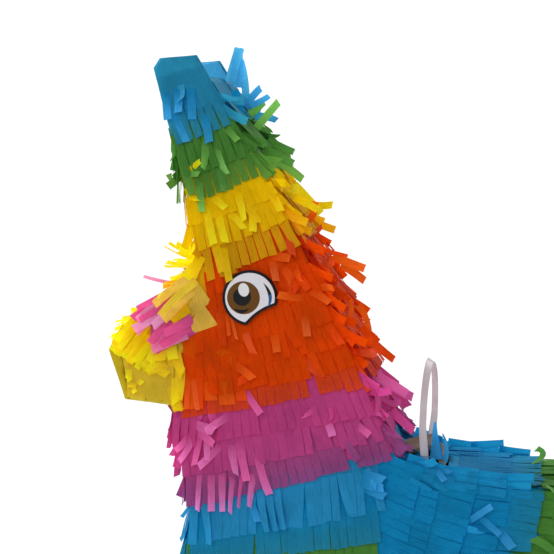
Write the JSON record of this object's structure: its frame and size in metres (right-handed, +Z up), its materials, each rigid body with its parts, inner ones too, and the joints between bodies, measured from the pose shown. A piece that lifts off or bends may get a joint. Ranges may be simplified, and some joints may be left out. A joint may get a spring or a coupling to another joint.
{
  "type": "donkey pinata",
  "caption": "Flat-sided standing donkey pinata of corrugated board wrapped in bands of fringed crepe paper, with a filling flap, a hanging loop and a paper tail.",
  "frame": {"origin": "centre of the overall footprint, on the floor under the soles", "axes": "+Z up, -X towards the head, +X towards the tail, -Y towards the near side"},
  "size_m": [0.3992, 0.124, 0.5576],
  "materials": {
    "crepe_blue": "dull crepe tissue, two layers",
    "crepe_green": "dull crepe tissue, two layers",
    "crepe_yellow": "dull crepe tissue, two layers",
    "crepe_gold": "yellow crepe tissue over a darker one",
    "crepe_orange": "dull crepe tissue, two layers",
    "crepe_pink": "dull crepe tissue, two layers",
    "raw_board": "brown kraft liner, fluted edge",
    "eye_print": "printed coated paper, satin",
    "loop_plastic": "milky flat strap",
    "staple_wire": "zinc plated wire"
  },
  "bodies": {
    "donkey": {"near_side_panel": "raw_board", "far_side_panel": "raw_board", "forehead_strip": "raw_board", "muzzle_bridge_strip": "raw_board", "nose_end_strip": "raw_board", "chin_strip": "raw_board", "neck_front_strip": "raw_board", "chest_strip": "raw_board", "front_sole_strip": "raw_board", "foreleg_back_strip": "raw_board", "belly_strip": "raw_board", "hindleg_front_strip": "raw_board", "hind_sole_strip": "raw_board", "rump_strip": "raw_board", "back_strip": "raw_board", "mane_strip": "raw_board", "crown_strip": "raw_board", "loop_anchor_plates": "raw_board", "ear_blue_paper": "crepe_blue", "shoulder_blue_paper": "crepe_blue", "foreleg_blue_paper": "crepe_blue", "hindleg_blue_paper": "crepe_blue", "back_blue_paper": "crepe_blue", "near_ear_lining": "crepe_blue", "far_ear_lining": "crepe_blue", "tail_stub": "crepe_blue", "head_green_paper": "crepe_green", "chest_green_paper": "crepe_green", "flank_green_paper": "crepe_green", "head_yellow_paper": "crepe_yellow", "foreleg_yellow_paper": "crepe_yellow", "rump_yellow_paper": "crepe_yellow", "muzzle_yellow_paper": "crepe_yellow", "muzzle_gold_paper": "crepe_gold", "nose_wrap_paper": "crepe_gold", "face_orange_paper": "crepe_orange", "foreleg_orange_paper": "crepe_orange", "hindleg_orange_paper": "crepe_orange", "neck_pink_paper": "crepe_pink", "foreleg_pink_paper": "crepe_pink", "hindleg_pink_paper": "crepe_pink", "muzzle_pink_paper": "crepe_pink", "near_eye": "eye_print", "far_eye": "eye_print", "loop_end_tabs": "loop_plastic", "loop_staples": "staple_wire"},
    "neck_leaf": {"flap_neck_leaf": "raw_board"},
    "tail_leaf": {"flap_tail_leaf": "raw_board"},
    "loop": {"hanging_loop": "loop_plastic"},
    "tail": {"tail_rope": "crepe_blue", "tail_brush": "crepe_blue"}
  },
  "joints": [
    {"name": "neck_leaf_hinge", "type": "hinge", "parent": "donkey", "child": "neck_leaf", "pos_m": [0.01, 0, 0.26809], "axis": [0, -1, 0], "range_deg": [-36, 86]},
    {"name": "tail_leaf_hinge", "type": "hinge", "parent": "donkey", "child": "tail_leaf", "pos_m": [0.0465, 0, 0.25612], "axis": [0, 1, 0], "range_deg": [-62, 98]},
    {"name": "loop_bend", "type": "hinge", "parent": "donkey", "child": "loop", "pos_m": [0.031, 0, 0.25954], "axis": [0, 1, 0], "range_deg": [-22, 62], "stiffness_Nm_per_rad": 0.015},
    {"name": "tail_swing", "type": "hinge", "parent": "donkey", "child": "tail", "pos_m": [0.188, 0, 0.224], "axis": [0, -1, 0], "range_deg": [0, 70]}
  ]
}
